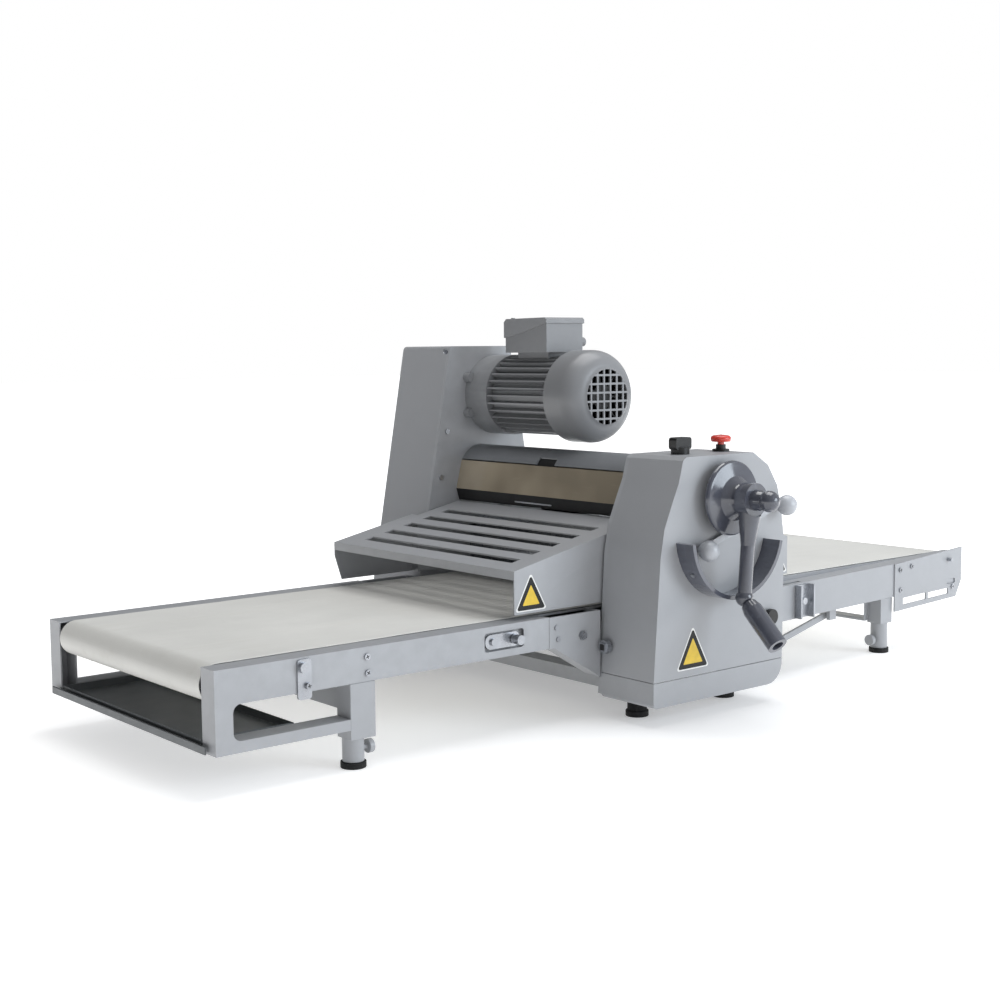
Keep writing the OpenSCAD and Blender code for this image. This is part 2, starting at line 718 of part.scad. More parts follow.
// left table: fixed, with the tray bay below its outer end
module left_table_frame() color(c_paint) place() {
    low = left_low;
    strut = 17;
    wall = 2.5;
    both_sides() {
        difference() {
            union() {
                left_rail(-rail_out, -rail_in, 0);
                box([-table_reach, -rail_out, low], [-680, -rail_in, low + strut]);
            }
            left_rail(-rail_out + wall, -rail_in + 1, wall);
            box([-420, -rail_out - 1, 146], [-337, -rail_out + 0.1, 177]);
            slab_y(-rail_out - 1, -rail_out + 8) polygon(rounded([[-420, 146], [-337, 146], [-337, 177], [-420, 177]], 5));
        }
        // rounded corners of the side window
        for (c = [[low + strut, 1], [left_top - left_rail_h, -1]]) slab_y(-rail_out, -rail_out + wall) difference() {
            translate([left_post - table_reach - 1, c[1] > 0 ? c[0] - 1 : c[0] - 13]) square(14);
            translate([left_post - table_reach + 13, c[0] + c[1] * 13]) circle(r = 13);
        }
        // pocket floor behind the recess
        box([-426, -rail_out + 8, 140], [-331, -rail_out + 10, 183]);
        // ledge that carries the tray
        box([-table_reach + 4, -rail_in, low], [-690, -rail_in + 14, low + 2.5]);
        // journal plate of the end roller
        difference() {
            box([-end_x - 14, -rail_in - 3, 143], [-end_x + 14, -rail_in, 175]);
            rod_y(-end_x, pivot_z, -rail_in - 4, -rail_in + 1, 7 + fit);
        }
        // tongue inside the bracket
        box([-rail_start, -rail_out + 8, 140], [-235, -rail_in - 6, 180]);
    }
    // bed under the upper run and cross tubes between the runs
    box([-845, -rail_out + wall, 182.5], [-rail_start - 2, rail_out - wall, 185.4]);
    box([-rail_start - 2, -243.5, 182.5], [-110, 243.5, 185.4]);
    for (x = [-840, -560, -322.5]) box([x, -rail_out + wall, 140], [x + 40, rail_out - wall, 165]);
}

module leg_box(x0, x1) {
    y0 = -rail_out + 0.5;
    difference() {
        box([x0, y0, 47], [x1, -rail_in, 133.5]);
        box([x0 + 3, y0 + 3, 60], [x1 - 3, -rail_in + 1, 140]);
    }
}

module left_leg_frame() color(c_paint) place() {
    both_sides() leg_box(-679.5, -634);
    box([-668, -rail_in, 86], [-660, rail_in, 118]);
}

// telescoping foot with its clamp knob, knob side given by s
module foot(x, s, top) {
    rod_z(x, -foot_y, 10, top, foot_r);
    rod_x(s > 0 ? x + foot_r - 1 : x - foot_r - 8, s > 0 ? x + foot_r + 8 : x - foot_r + 1, -foot_y, 28, 4);
    rod_x(s > 0 ? x + foot_r + 8 : x - foot_r - 17, s > 0 ? x + foot_r + 17 : x - foot_r - 8, -foot_y, 28, 11);
}

module left_feet() color(c_paint) place() both_sides() foot(-left_foot_x, 1, 47);

module left_pads() color(c_black) place() both_sides() rod_z(-left_foot_x, -foot_y, 0, 10, 20);

module left_fittings() color(c_steel) place() {
    both_sides() {
        // latch plate with its knob and screw
        slab_y(-rail_out - 3, -rail_out) polygon(rounded([[-773, 124], [-749, 124], [-749, 184], [-773, 184]], 5));
        rod_y(-756, 144, -rail_out - 8, -rail_out - 3, 5);
        translate([-764, 0, 172]) slab_y(-rail_out - 10, -rail_out - 3) circle(r = 8);
        for (p = [[-649, 172], [-648, 147]]) rod_y(p[0], p[1], -rail_out - 3, -rail_out, 5);
        // link plate in the recess
        difference() {
            slab_y(-rail_out + 3, -rail_out + 6) polygon(rounded([[-416, 149], [-344, 149], [-344, 173], [-416, 173]], 11));
            rod_y(-356, 161, -rail_out + 2, -rail_out + 7, 6.2);
        }
        rod_y(-400, 161, -rail_out - 1, -rail_out + 3, 6);
        rod_y(-400, 161, -rail_out + 6, -rail_out + 8, 6);
    }
}

module lock_pin() color(c_steel) place() {
    rod_y(-356, 161, -rail_out - 16, -rail_out + 1.6, 8);
    rod_y(-356, 161, -rail_out + 1.6, -rail_out + 7.6, 6);
}

module left_belt() color(c_belt) place()
    loop_y([-end_x, pivot_z], end_roller_r + gap, [-drive_x, drive_z], drive_roller_r + gap, belt_t, -belt_w / 2, belt_w / 2);

module left_drive_roller() color(c_steel) place() {
    rod_y(-drive_x, drive_z, -237, 237, drive_roller_r);
    rod_y(-drive_x, drive_z, -near_in - 6, far_in + 6, 7);
    rod_y(-drive_x, drive_z, conveyor_y[0] - 0.5, conveyor_y[1] + 0.5, 14);
}

module left_end_roller() color(c_steel) place() end_roller(-end_x, rail_in + 2.5);

module end_roller(x, reach) {
    rod_y(x, pivot_z, -237, 237, end_roller_r);
    rod_y(x, pivot_z, -reach, reach, 7);
}

module left_tray() color([0.36, 0.38, 0.40]) place() {
    x0 = -table_reach;
    x1 = -752;
    difference() {
        box([x0 + 1, -236, 66], [x1, 236, 80]);
        box([x0 + 3, -234, 68], [x1 - 2, 234, 81]);
    }
    // front lip that covers the posts
    box([x0 - 8, -262, 64], [x0 - 5, 262, 76]);
    box([x0 - 8, -236, 66], [x0 + 3, 236, 68]);
}

function right_top(x) = 173.5 + (x - 262) * tan(1.41);

module right_table_frame() color(c_paint) place() {
    x1 = 900;
    wall = 2.5;
    start = pivot_x + 3;
    both_sides() {
        difference() {
            union() {
                slab_y(-rail_out, -rail_in) polygon([
                    [start, right_top(start) - right_rail_h], [x1, right_top(x1) - right_rail_h],
                    [x1, right_top(x1)], [start, right_top(start)]
                ]);
                slab_y(-rail_out, -rail_out + wall) polygon(concat(
                    arc([pivot_x + 4, pivot_z - 1], 15.4, 100, 230, 8), [[start + 12, right_top(start) - right_rail_h], [start + 12, right_top(start)]]
                ));
            }
            slab_y(-rail_out + wall, -rail_in + 1) polygon([
                [start - 1, right_top(start) - right_rail_h + wall], [x1 - wall, right_top(x1) - right_rail_h + wall],
                [x1 - wall, right_top(x1) - wall], [start - 1, right_top(start) - wall]
            ]);
            rod_y(pivot_x, pivot_z, -rail_out - 1, -rail_out + wall + 1, 8 + fit);
            // room for the conveyor chain, and a slot that the guard's panel enters as the table folds
            box([start - 1, -rail_out + wall, 90], [pivot_x + 22, -rail_in + 1, 200]);
            box([300, -269.5, 150], [384, -260.5, 200]);
        }
        // side of the bed above the rail
        box([330, -rail_in, 150], [850, -rail_in + 2.5, 185.4]);
        // journal plate of the drive roller
        difference() {
            box([pivot_x - 12, -rail_in - 3, 144], [336, -rail_in, 174]);
            rod_y(pivot_x, pivot_z, -rail_in - 4, -rail_in + 1, 7 + fit);
        }
        difference() {
            box([end_x - 14, -rail_in - 3, 143], [end_x + 14, -rail_in, 175]);
            rod_y(end_x, pivot_z, -rail_in - 4, -rail_in + 1, 7 + fit);
        }
        // lug that carries the brace
        box([496, -rail_in - 10, 84], [516, -rail_in - 2, right_top(500) - right_rail_h + 2]);
        rod_y(brace_pin[0], brace_pin[1], -rail_in - 10, -231, 4);
    }
    box([316, -rail_in, 182.5], [845, rail_in, 185.4]);
    for (x = [390, 560, 800]) box([x, -rail_out + wall, 140], [x + 40, rail_out - wall, 165]);
}

module right_end_plates() color(c_paint) place() both_sides()
    slab_y(-rail_out - 3, -rail_out) difference() {
        polygon([[669, 84], [887, 93], [table_reach - 1, 128], [table_reach - 1, 199], [669, 183]]);
        polygon([[698, 96], [778, 99], [778, 113], [698, 110]]);
        polygon([[786, 99], [858, 102], [858, 114], [786, 112]]);
        polygon(rounded([[852, 122], [884, 123], [884, 134], [852, 133]], 4));
    }

module right_leg_frame() color(c_paint) place() {
    both_sides() difference() {
        box([632, -rail_out + 4, 62], [670, -rail_in, 114]);
        box([635, -rail_out + 7, 76], [667, -rail_in + 1, 120]);
    }
    box([620, -rail_in, 66], [650, rail_in, 72]);
    both_sides() box([620, -rail_in - 2, 66], [650, -rail_in, 114]);
}

module right_feet() color(c_paint) place() both_sides() foot(right_foot_x, -1, 62);

module right_pads() color(c_black) place() both_sides() rod_z(right_foot_x, -foot_y, 0, 10, 20);

module right_fittings() color(c_steel) place() both_sides() {
    for (p = [[686, 170], [688, 128], [725, 174], [873, 116]]) rod_y(p[0], p[1], -rail_out - 6, -rail_out - 3, 5);
    rod_y(856, 176, -rail_out - 14, -rail_out - 3, 4);
    // U bracket with a slot and a bolt
    difference() {
        box([352, -rail_out - 16, 109], [394, -rail_out, 173]);
        box([356, -rail_out - 17, 108], [390, -rail_out - 3, 174]);
    }
    rod_y(373, 141, -rail_out - 9, -rail_out - 3, 7);
}

module right_belt() color(c_belt) place()
    loop_y([pivot_x, pivot_z], end_roller_r + gap, [end_x, pivot_z], end_roller_r + gap, belt_t, -belt_w / 2, belt_w / 2);

module right_drive_roller() color(c_steel) place() {
    rod_y(pivot_x, pivot_z, -237, 237, end_roller_r);
    rod_y(pivot_x, pivot_z, -258, rail_in + 3, 7);
    rod_y(pivot_x, pivot_z, conveyor_y[0] - 7.5, conveyor_y[1] - 6.5, 14);
}

module right_end_roller() color(c_steel) place() end_roller(end_x, rail_in + 2.5);

// fold-up brace under the right table
module brace() color(c_paint) place() {
    u = unit(brace_pin - brace_foot);
    w = 6 * [-u[1], u[0]];
    both_sides() difference() {
        slab_y(-238, -232) polygon([
            brace_foot - 6 * u + w, brace_pin + 6 * u + w, brace_pin + 6 * u - w, brace_foot - 6 * u - w
        ]);
        rod_y(brace_pin[0], brace_pin[1], -239, -231, 4 + fit);
    }
    rod_y(brace_foot[0], brace_foot[1], -249, 249, 5);
}

near_side_plate();
far_side_plate();
base_members();
gusset_brackets();
near_cover();
far_cover();
housing_feet();
roller_hood();
roller_shields();
shield_seals();
slide_plate();
lower_scrapers();
motor_body();
fan_cover();
terminal_box();
motor_belt();
roller_chain();
conveyor_chains();
scale_band();
housing_screws();
estop_base();
cover_lock();
estop_head();
selector_switch();
start_button();
lever_dial();
lever_arm();
lever_grip();
adjust_shaft();
direction_rocker();
bearing_blocks();
lift_racks();
scraper_beam();
upper_roller();
lower_roller();
counter_shaft();
motor_rotor();
motor_fan();
left_guard();
right_guard();
left_table_frame();
left_leg_frame();
left_feet();
left_pads();
left_fittings();
lock_pin();
left_belt();
left_drive_roller();
left_end_roller();
left_tray();
right_table_frame();
right_end_plates();
right_leg_frame();
right_feet();
right_pads();
right_fittings();
right_belt();
right_drive_roller();
right_end_roller();
brace();
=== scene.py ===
import json
import math

import bpy
from mathutils import Euler, Matrix, Vector

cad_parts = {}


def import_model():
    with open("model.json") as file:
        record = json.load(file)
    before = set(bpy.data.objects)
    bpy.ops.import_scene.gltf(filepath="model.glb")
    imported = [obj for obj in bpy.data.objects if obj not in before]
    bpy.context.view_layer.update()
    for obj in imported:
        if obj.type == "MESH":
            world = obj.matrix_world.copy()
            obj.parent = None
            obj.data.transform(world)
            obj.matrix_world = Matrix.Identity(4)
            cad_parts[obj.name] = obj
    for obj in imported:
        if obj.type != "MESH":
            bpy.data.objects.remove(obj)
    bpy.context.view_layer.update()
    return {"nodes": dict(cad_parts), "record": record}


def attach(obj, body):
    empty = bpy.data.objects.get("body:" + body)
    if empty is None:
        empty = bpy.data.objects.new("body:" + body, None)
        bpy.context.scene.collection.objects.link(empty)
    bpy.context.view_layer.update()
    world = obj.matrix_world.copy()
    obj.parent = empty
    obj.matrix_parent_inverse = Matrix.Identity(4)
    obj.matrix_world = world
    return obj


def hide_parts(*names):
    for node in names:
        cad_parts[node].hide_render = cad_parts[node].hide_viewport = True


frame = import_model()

BELT_Y = 0.072  # centre line of the belts
NEAR = BELT_Y - 0.280  # outer face of the near rails
GUARD_FACE = BELT_Y - 0.266  # outer face of the guards' lever side panels
HOUSING_FACE = BELT_Y - 0.406  # front face of the lever housing

CAM_PLACE = (-1.919, -2.0595, 0.6293)
CAM_YAW, CAM_TILT, CAM_ROLL = -39.638, 84.334, -0.526  # degrees


def linear(colour):
    return tuple(c / 12.92 if c <= 0.04045 else ((c + 0.055) / 1.055) ** 2.4 for c in colour) + (1.0,)


# ---------------------------------------------------------------- camera, floor and light

def camera():
    data = bpy.data.cameras.new("camera")
    data.lens, data.sensor_width = 54.19, 36.0
    data.clip_start, data.clip_end = 0.05, 100
    cam = bpy.data.objects.new("camera", data)
    turn = Euler((0, 0, math.radians(CAM_YAW))).to_matrix()
    turn = turn @ Euler((math.radians(CAM_TILT), 0, 0)).to_matrix()
    turn = turn @ Euler((0, 0, math.radians(CAM_ROLL))).to_matrix()
    cam.matrix_world = Matrix.Translation(CAM_PLACE) @ turn.to_4x4()
    bpy.context.scene.collection.objects.link(cam)
    bpy.context.scene.camera = cam


camera()


def area_light(name, place, target, size, power, colour=(1, 1, 1)):
    data = bpy.data.lights.new(name, "AREA")
    data.shape, data.size, data.size_y = "RECTANGLE", size[0], size[1]
    data.energy, data.color = power, colour
    lamp = bpy.data.objects.new(name, data)
    lamp.location = place
    lamp.rotation_euler = (Vector(target) - Vector(place)).to_track_quat("-Z", "Y").to_euler()
    bpy.context.scene.collection.objects.link(lamp)


area_light("overhead", (0.5, 0.1, 3.2), (0, 0, 0.2), (2.6, 2.2), 60)
area_light("front", (1.9, -3.7, 1.5), (0, 0, 0.2), (2.4, 1.8), 74, (0.82, 0.91, 1.0))


def world():
    w = bpy.data.worlds.new("studio")
    bpy.context.scene.world = w
    w.use_nodes = True
    t = w.node_tree
    t.nodes.clear()
    out = t.nodes.new("ShaderNodeOutputWorld")
    mix = t.nodes.new("ShaderNodeMixShader")
    path = t.nodes.new("ShaderNodeLightPath")
    seen = t.nodes.new("ShaderNodeBackground")
    seen.inputs["Color"].default_value = (1, 1, 1, 1)
    soft = t.nodes.new("ShaderNodeBackground")
    soft.inputs["Color"].default_value = (0.97, 0.98, 1, 1)
    # brighter from the front, right and above, almost dark from the left
    where = t.nodes.new("ShaderNodeTexCoord")
    dot = t.nodes.new("ShaderNodeVectorMath")
    dot.operation = "DOT_PRODUCT"
    dot.inputs[1].default_value = (0.55, -0.65, 0.52)
    span = t.nodes.new("ShaderNodeMapRange")
    for k, v in zip(("From Min", "From Max", "To Min", "To Max"), (-0.45, 1.0, 0.04, 0.72)):
        span.inputs[k].default_value = v
    t.links.new(where.outputs["Generated"], dot.inputs[0])
    t.links.new(dot.outputs["Value"], span.inputs["Value"])
    t.links.new(span.outputs["Result"], soft.inputs["Strength"])
    t.links.new(path.outputs["Is Camera Ray"], mix.inputs[0])
    t.links.new(soft.outputs[0], mix.inputs[1])
    t.links.new(seen.outputs[0], mix.inputs[2])
    t.links.new(mix.outputs[0], out.inputs[0])


world()
view = bpy.context.scene.view_settings
view.view_transform, view.look = "Standard", "None"


# ---------------------------------------------------------------- materials

class Shader:
    """A Principled material with small helpers for its nodes."""

    def __init__(self, name, rough=0.4, metal=0.0, coat=0.0, specular=0.5):
        self.mat = bpy.data.materials.new(name)
        self.mat.use_nodes = True
        self.tree = self.mat.node_tree
        self.bsdf = self.tree.nodes["Principled BSDF"]
        self.bsdf.inputs["Roughness"].default_value = rough
        self.bsdf.inputs["Metallic"].default_value = metal
        self.bsdf.inputs["Coat Weight"].default_value = coat
        self.bsdf.inputs["Coat Roughness"].default_value = 0.12
        self.bsdf.inputs["Specular IOR Level"].default_value = specular
        self.place = self.add("ShaderNodeTexCoord").outputs["Object"]

    def add(self, kind, **values):
        n = self.tree.nodes.new(kind)
        for k, v in values.items():
            setattr(n, k, v)
        return n

    def link(self, a, b):
        self.tree.links.new(a, b)

    def noise(self, scale, detail=3.0, stretch=None):
        n = self.add("ShaderNodeTexNoise")
        n.inputs["Scale"].default_value = scale
        n.inputs["Detail"].default_value = detail
        n.inputs["Roughness"].default_value = 0.55
        src = self.place
        if stretch:
            m = self.add("ShaderNodeMapping")
            m.inputs["Scale"].default_value = stretch
            self.link(src, m.inputs["Vector"])
            src = m.outputs["Vector"]
        self.link(src, n.inputs["Vector"])
        return n.outputs["Fac"]

    def ramp(self, fac, *stops):
        r = self.add("ShaderNodeValToRGB").color_ramp
        node = self.tree.nodes[-1]
        while len(r.elements) < len(stops):
            r.elements.new(0.5)
        for e, (at, c) in zip(r.elements, stops):
            e.position = at
            e.color = c if hasattr(c, "__len__") else (c, c, c, 1)
        self.link(fac, node.inputs["Fac"])
        return node.outputs["Color"]

    def span(self, fac, lo, hi, a=0.0, b=1.0):
        m = self.add("ShaderNodeMapRange")
        for k, v in zip(("From Min", "From Max", "To Min", "To Max"), (a, b, lo, hi)):
            m.inputs[k].default_value = v
        self.link(fac, m.inputs["Value"])
        return m.outputs["Result"]

    def mix(self, fac, a, b):
        m = self.add("ShaderNodeMix", data_type="RGBA", blend_type="MIX")
        for s, v in ((m.inputs[0], fac), (m.inputs[6], a), (m.inputs[7], b)):
            if hasattr(v, "is_linked"):
                self.link(v, s)
            else:
                s.default_value = v
        return m.outputs[2]

    def math(self, op, a, b=0.0):
        m = self.add("ShaderNodeMath", operation=op)
        for s, v in zip(m.inputs, (a, b)):
            if hasattr(v, "is_linked"):
                self.link(v, s)
            else:
                s.default_value = v
        return m.outputs[0]

    def bump(self, height, strength, distance, after=None):
        b = self.add("ShaderNodeBump")
        b.inputs["Strength"].default_value = strength
        b.inputs["Distance"].default_value = distance
        self.link(height, b.inputs["Height"])
        if after is not None:
            self.link(after, b.inputs["Normal"])
        return b.outputs["Normal"]

    def edges(self):
        """1 along convex edges, 0 on flats."""
        return self.span(self.add("ShaderNodeNewGeometry").outputs["Pointiness"], 0, 1, 0.52, 0.62)

    def done(self, colour, rough=None, normal=None):
        for name, v in (("Base Color", colour), ("Roughness", rough), ("Normal", normal)):
            if v is not None:
                self.link(v, self.bsdf.inputs[name])
        return self.mat


def enamel(name, colour, rough=0.36, grain=0.05):
    """Sprayed enamel: faint orange peel, very slight change of tone, fine dust marks."""
    s = Shader(name, rough, coat=0.10)
    base = linear(colour)
    light = linear([min(1, c * 1.012) for c in colour])
    dark = linear([c * 0.985 for c in colour])
    c = s.ramp(s.noise(3.0, 3), (0.30, dark), (0.52, base), (0.74, light))
    specks = s.span(s.noise(420, 2), 0, 1, 0.66, 0.74)
    c = s.mix(s.math("MULTIPLY", specks, 0.18), c, linear([x * 0.82 for x in colour]))
    # lighter colour along convex edges: partly worn paint, partly painted highlight on the edges
    edge_wear_and_painted_highlight = s.math("MULTIPLY", s.edges(), s.span(s.noise(38, 3), 0.25, 1, 0.35, 0.62))
    c = s.mix(s.math("MULTIPLY", edge_wear_and_painted_highlight, 0.10), c, linear((0.86, 0.88, 0.90)))
    smear = s.noise(16, 5, (1, 1, 3.2))
    r = s.span(smear, rough - 0.04, rough + 0.05, 0.3, 0.7)
    n = s.bump(s.noise(650, 1.5), grain, 0.0006)
    n = s.bump(s.noise(7, 1), 0.02, 0.003, n)
    return s.done(c, r, n)


def moulded(name, colour, rough=0.22, coat=0.3):
    """Moulded plastic: slight flow marks, handling scuffs and a fine texture."""
    s = Shader(name, rough, coat=coat)
    base, dark = linear(colour), linear([c * 0.86 for c in colour])
    c = s.ramp(s.noise(14, 4), (0.35, dark), (0.65, base))
    scuff = s.span(s.noise(90, 4, (1, 1, 0.35)), 0, 1, 0.60, 0.70)
    c = s.mix(s.math("MULTIPLY", scuff, 0.22), c, linear([min(1, x * 1.35 + 0.03) for x in colour]))
    # lighter colour along convex edges: painted highlight
    c = s.mix(s.math("MULTIPLY", s.edges(), 0.10), c, linear([min(1, x * 1.5 + 0.05) for x in colour]))
    r = s.span(s.noise(30, 4), max(0.05, rough - 0.08), rough + 0.12, 0.3, 0.7)
    return s.done(c, r, s.bump(s.noise(500, 2), 0.035, 0.0005))


def turned(name, colour, rough=0.24, stretch=(1, 60, 1), metal=1.0):
    """Ground or turned metal: fine lines across, tarnish clouds."""
    s = Shader(name, rough, metal)
    base, dark = linear(colour), linear([c * 0.80 for c in colour])
    lines = s.noise(60, 3, stretch)
    c = s.mix(s.span(s.noise(11, 4), 0, 1, 0.4, 0.75), base, dark)
    c = s.mix(s.math("MULTIPLY", lines, 0.25), c, linear([x * 0.72 for x in colour]))
    r = s.span(lines, rough - 0.06, rough + 0.12, 0.3, 0.7)
    return s.done(c, r, s.bump(lines, 0.12, 0.0004))


def rubber(name, colour):
    s = Shader(name, 0.62, specular=0.35)
    dark, light = linear([x * 0.8 for x in colour]), linear([x * 1.5 for x in colour])
    c = s.ramp(s.noise(45, 4), (0.3, dark), (0.7, light))
    dust = s.span(s.noise(140, 3), 0, 1, 0.58, 0.72)
    c = s.mix(s.math("MULTIPLY", dust, 0.10), c, linear((0.55, 0.54, 0.52)))
    return s.done(c, s.span(s.noise(70, 3), 0.5, 0.78), s.bump(s.noise(380, 3), 0.12, 0.0008))


def bronze_with_painted_reflection(name, colour):
    """Glossy bronze strip: the bronze tone is partly the strip's own tint and partly a painted reflection of
    brown surroundings.
    """
    s = Shader(name, 0.07, coat=0.6, specular=0.8)
    dark, light = linear([x * 0.78 for x in colour]), linear([x * 1.08 for x in colour])
    c = s.ramp(s.noise(3.5, 3), (0.35, dark), (0.65, light))
    streaks = s.span(s.noise(160, 3, (1, 0.12, 1)), 0, 1, 0.62, 0.72)
    c = s.mix(s.math("MULTIPLY", streaks, 0.15), c, linear((0.7, 0.66, 0.58)))
    r = s.span(s.noise(20, 4), 0.05, 0.16, 0.35, 0.7)
    return s.done(c, r, s.bump(s.noise(6, 2), 0.05, 0.003))


def woven(name, colour):
    """Coated belting: fine square weave under the coating, faint rubbing marks along the run."""
    s = Shader(name, 0.55, coat=0.08)
    s.bsdf.inputs["Sheen Weight"].default_value = 0.06
    s.bsdf.inputs["Sheen Roughness"].default_value = 0.5
    base = linear(colour)
    cloud = s.noise(4.2, 4)
    c = s.ramp(cloud, (0.34, linear([x * 0.962 for x in colour])), (0.66, base))
    rub = s.noise(34, 4, (0.16, 1, 1))
    c = s.mix(s.math("MULTIPLY", s.span(rub, 0, 1, 0.55, 0.72), 0.16), c, linear((0.78, 0.765, 0.72)))

    def threads(axis):
        w = s.add("ShaderNodeTexWave", wave_type="BANDS", bands_direction=axis, wave_profile="SIN")
        w.inputs["Scale"].default_value = 230
        w.inputs["Distortion"].default_value = 0.4
        w.inputs["Detail"].default_value = 1.0
        s.link(s.place, w.inputs["Vector"])
        return w.outputs["Fac"]

    weave = s.math("MAXIMUM", threads("X"), threads("Y"))
    c = s.mix(s.math("MULTIPLY", s.math("SUBTRACT", 1.0, weave), 0.10), c, linear([x * 0.86 for x in colour]))
    r = s.span(rub, 0.46, 0.66, 0.3, 0.7)
    n = s.bump(weave, 0.20, 0.0003)
    n = s.bump(s.noise(7, 1), 0.02, 0.003, n)
    return s.done(c, r, n)


PAINT = enamel("silver_grey_enamel", (0.625, 0.632, 0.645))
# motor enamel set darker than the housing paint: painted shade of the grooves between the fins
PAINT_MOTOR_PAINTED_SHADE = enamel("motor_enamel_painted_shade", (0.51, 0.515, 0.525), 0.36, 0.08)
# darker copy of the silver grey enamel for the roller hood: painted shadow of the motor above it
HOOD_PAINTED_SHADOW = enamel("hood_enamel_painted_shadow", (0.455, 0.465, 0.48), 0.34)
PAINT_TRAY = enamel("tray_enamel", (0.36, 0.375, 0.385), 0.42)
BELT = woven("coated_belting", (0.885, 0.882, 0.862))
SLIDE = moulded("slide_sheet", (0.86, 0.86, 0.83), 0.45, 0.05)
LEVER = moulded("slate_moulding", (0.295, 0.305, 0.345), 0.15, 0.8)
KNOB = moulded("pale_knob", (0.74, 0.75, 0.77), 0.30, 0.3)
# bronze tone: partly the strip's tint, partly a painted reflection of brown surroundings
BRONZE_TINT_AND_REFLECTION = bronze_with_painted_reflection("bronze_strip_painted_reflection", (0.72, 0.67, 0.585))
BLACK = moulded("black_moulding", (0.03, 0.03, 0.033), 0.40, 0.1)
RED = moulded("red_moulding", (0.86, 0.25, 0.20), 0.26, 0.3)
RUBBER = rubber("black_rubber", (0.055, 0.055, 0.06))
STEEL = turned("ground_steel", (0.74, 0.75, 0.77))
ALU = turned("turned_aluminium", (0.80, 0.81, 0.83), 0.3)
ZINC = turned("bright_zinc", (0.72, 0.73, 0.75), 0.28, (1, 12, 1))

BY_SLOT = {
    "paint": PAINT, "motor_paint": PAINT_MOTOR_PAINTED_SHADE, "tray_paint": PAINT_TRAY, "belt": BELT, "slide": SLIDE,
    "lever": LEVER, "knob": KNOB, "tint": BRONZE_TINT_AND_REFLECTION, "black": BLACK, "red": RED, "rubber": RUBBER,
    "steel": STEEL, "alu": ALU, "zinc": ZINC,
}
for part in frame["record"]["subparts"]:
    node = frame["nodes"][part["node"]]
    node.data.materials.clear()
    # the roller hood gets the darker enamel as painted shadow of the motor
    shaded = part["node"] == "roller_hood"
    node.data.materials.append(HOOD_PAINTED_SHADOW if shaded else BY_SLOT[part["material_slot"]])


# ---------------------------------------------------------------- softened edges on the CAD pieces

def soften(names, width, angle=32, steps=2):
    for n in names.split():
        o = frame["nodes"][n]
        for f in o.data.polygons:
            f.use_smooth = True
        weld = o.modifiers.new("weld", "WELD")
        weld.merge_threshold = 0.00001
        flat = o.modifiers.new("flat", "DECIMATE")
        flat.decimate_type, flat.angle_limit = "DISSOLVE", math.radians(0.3)
        b = o.modifiers.new("edge", "BEVEL")
        b.width, b.segments, b.limit_method, b.angle_limit = width, steps, "ANGLE", math.radians(angle)
        b.use_clamp_overlap = True
        o.modifiers.new("shade", "WEIGHTED_NORMAL").keep_sharp = True


soften("near_cover far_cover", 0.0022, steps=3)
soften("left_table_frame right_table_frame left_guard right_guard right_end_plates left_leg_frame "
       "right_leg_frame gusset_brackets roller_hood", 0.0009)
soften("left_tray brace terminal_box fan_cover estop_head selector_switch start_button left_feet right_feet "
       "housing_feet left_pads right_pads", 0.0008)


# ---------------------------------------------------------------- mesh helpers

def piece(name, verts, faces, mats, body, smooth=True, which=None):
    mesh = bpy.data.meshes.new(name)
    mesh.from_pydata([tuple(v) for v in verts], [], faces)
    for m in mats if hasattr(mats, "__len__") else [mats]:
        mesh.materials.append(m)
    for i, f in enumerate(mesh.polygons):
        f.use_smooth = smooth
        if which:
            f.material_index = which[i]
    mesh.validate()
    o = bpy.data.objects.new(name, mesh)
    bpy.context.scene.collection.objects.link(o)
    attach(o, body)
    return o


def loop_path(c0, r0, c1, r1, step):
    """Points and outward normals round a taut loop over two circles in XZ, spaced by step."""
    d = Vector(c1) - Vector(c0)
    th = math.atan2(d.y, d.x)
    ph = math.acos((r0 - r1) / d.length)
    out = []
    for c, r, a0, a1 in ((c0, r0, th + ph, th + 2 * math.pi - ph), (c1, r1, th - ph, th + ph)):
        n = max(8, int(r * (a1 - a0) / (step * 0.35)))
        for i in range(n + 1):
            a = a0 + (a1 - a0) * i / n
            point = Vector((c[0] + r * math.cos(a), c[1] + r * math.sin(a)))
            out.append((point, Vector((math.cos(a), math.sin(a)))))
    full = []
    for i, (p, n) in enumerate(out):
        q, m = out[(i + 1) % len(out)]
        k = max(1, round((q - p).length / step))
        for j in range(k):
            full.append((p.lerp(q, j / k), n.lerp(m, j / k).normalized()))
    return full


